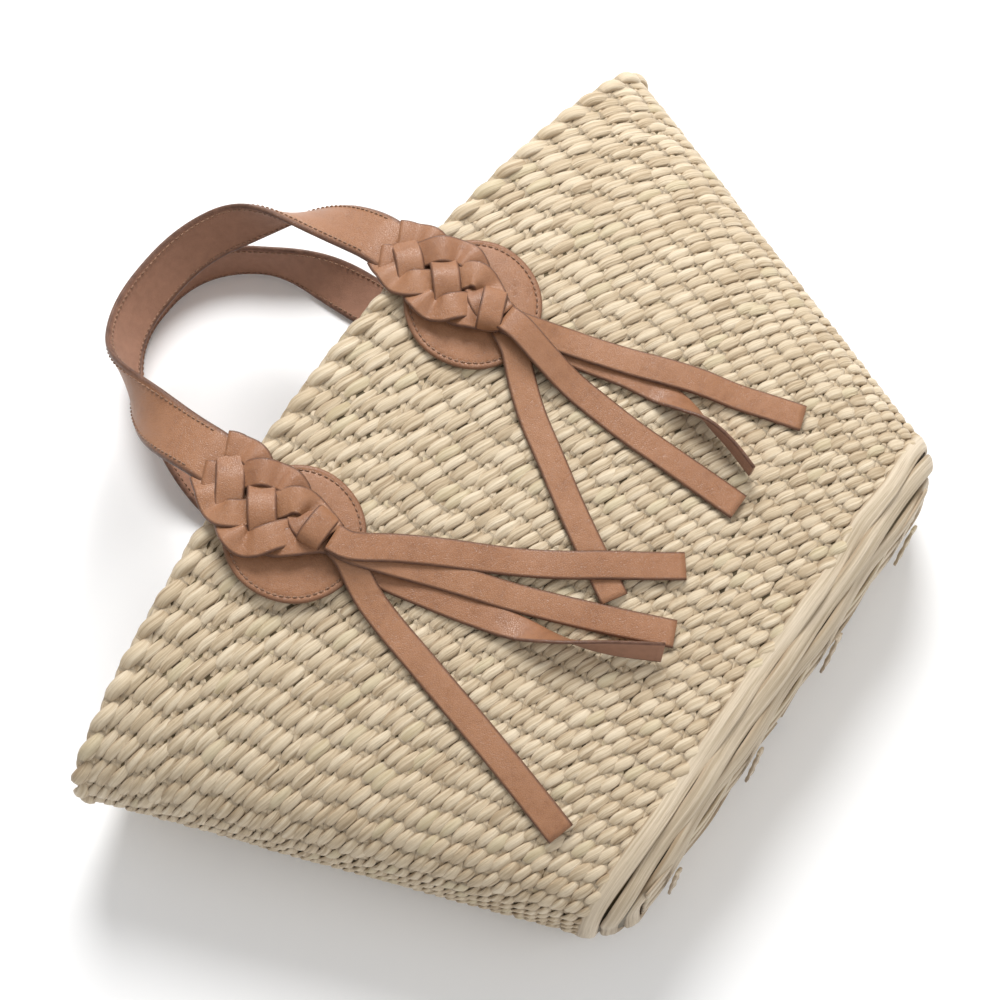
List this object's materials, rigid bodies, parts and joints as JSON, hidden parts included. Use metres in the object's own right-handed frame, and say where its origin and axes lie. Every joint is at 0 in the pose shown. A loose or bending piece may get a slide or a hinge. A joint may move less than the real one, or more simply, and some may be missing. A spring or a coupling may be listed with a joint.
{
  "type": "straw tote bag with leather handles",
  "caption": "Woven straw beach tote lying on its back, with two leather strap handles, round pads, plaited anchors and hanging lace tassels.",
  "frame": {"origin": "centre of the flat back face the bag lies on", "axes": "+X along the rim to the bag's right, +Y from the base to the rim, +Z out of the front panel"},
  "size_m": [0.452, 0.3843, 0.1181],
  "materials": {
    "straw": "matt woven straw",
    "leather": "smooth tan, burnished edges",
    "suede": "matt flesh side",
    "thread": "waxed thread"
  },
  "bodies": {
    "root": {"woven_wall": "straw", "rim_border": "straw", "woven_base": "straw", "base_splints": "straw", "front_left_pad": "leather", "front_right_pad": "leather", "rear_left_pad": "leather", "rear_right_pad": "leather", "front_left_pad_thread": "thread", "front_right_pad_thread": "thread", "front_left_backing": "leather", "front_right_backing": "leather", "rear_left_backing": "leather", "rear_right_backing": "leather", "left_plait": "leather", "right_plait": "leather", "left_keeper": "leather", "right_keeper": "leather", "rear_left_tab": "leather", "rear_right_tab": "leather", "right_lace_4": "leather"},
    "front_handle": {"front_strap": "leather", "front_strap_lining": "suede", "front_strap_thread": "thread"},
    "rear_handle": {"rear_strap": "leather", "rear_strap_lining": "suede", "rear_strap_thread": "thread"},
    "left_tassel": {"left_lace_1": "leather", "left_lace_2": "leather", "left_lace_3": "leather", "left_lace_4": "leather"},
    "right_tassel": {"right_lace_1": "leather", "right_lace_2": "leather", "right_lace_3": "leather"}
  },
  "joints": [
    {"name": "front_handle_swing", "type": "hinge", "parent": "root", "child": "front_handle", "pos_m": [0, 0.14772, 0.11026], "axis": [1, 0, 0], "range_deg": [0, 115]},
    {"name": "rear_handle_swing", "type": "hinge", "parent": "root", "child": "rear_handle", "pos_m": [0, 0.136, 0.0018], "axis": [1, 0, 0], "range_deg": [-100, 15]},
    {"name": "left_tassel_lift", "type": "hinge", "parent": "root", "child": "left_tassel", "pos_m": [-0.074, 0.0765, 0.1152], "axis": [-1, 0, 0], "range_deg": [0, 40]},
    {"name": "right_tassel_lift", "type": "hinge", "parent": "root", "child": "right_tassel", "pos_m": [0.058, 0.0765, 0.115], "axis": [-1, 0, 0], "range_deg": [0, 40]}
  ]
}
